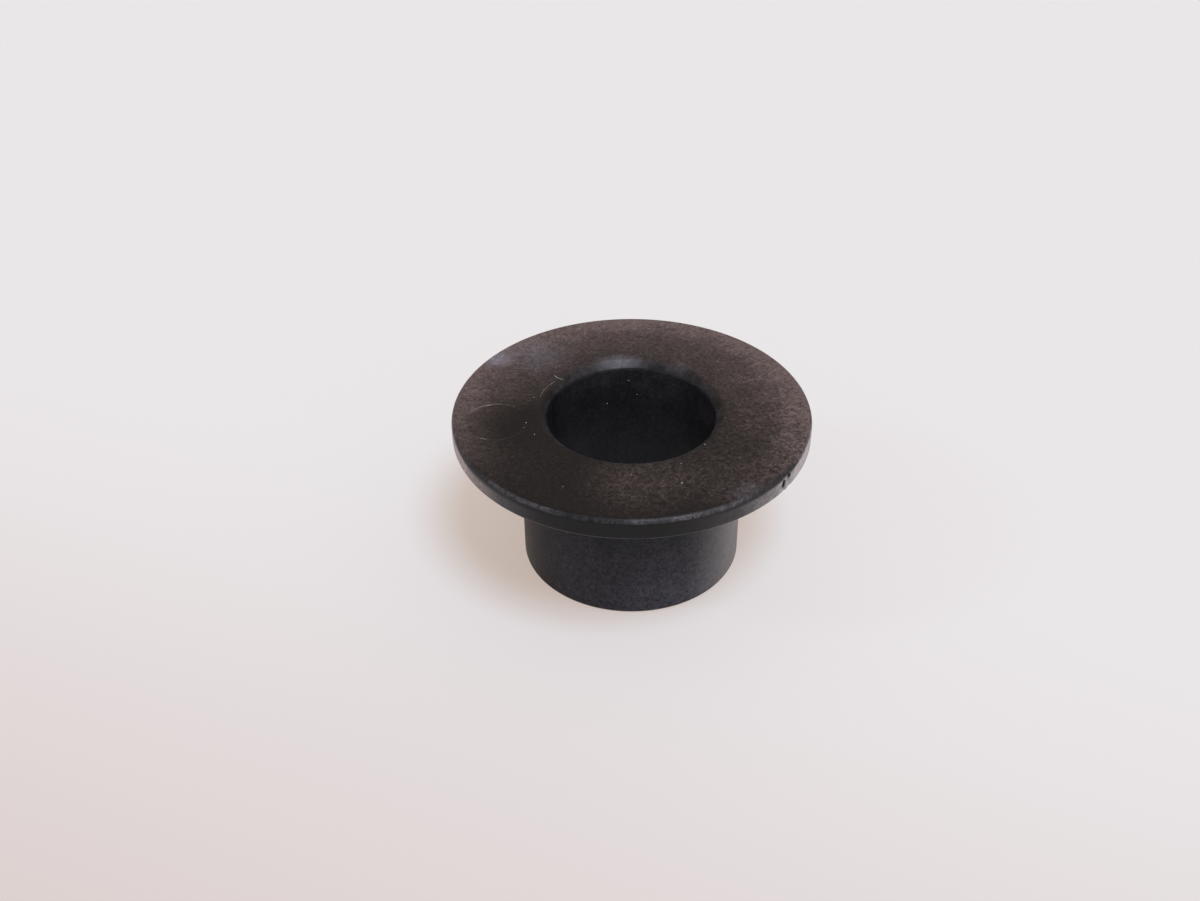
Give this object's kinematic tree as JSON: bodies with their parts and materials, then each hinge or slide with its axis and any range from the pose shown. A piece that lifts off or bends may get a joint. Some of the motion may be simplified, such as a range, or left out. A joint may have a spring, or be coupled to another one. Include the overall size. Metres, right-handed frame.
{
  "type": "slide washer",
  "caption": "Moulded plastic flanged bush: a wide, thin, flat flange for a part to slide over, on a short plain sleeve with a plain through bore and a softly sloped bore mouth.",
  "frame": {"origin": "on the bore's axis, at the free end face of the sleeve, which the washer stands on", "axes": "+Z along the bore, from the sleeve's end up to the slide face; +X starts the azimuths of the two ejector prints (10 and 190 degrees) and of the gate scar on the rim (-35 degrees)"},
  "size_m": [0.0175, 0.0174, 0.0084],
  "materials": {
    "black_plastic": "fine matt moulded grain on the flange, satin on the sleeve"
  },
  "bodies": {
    "root": {"slide_washer": "black_plastic"}
  },
  "joints": []
}
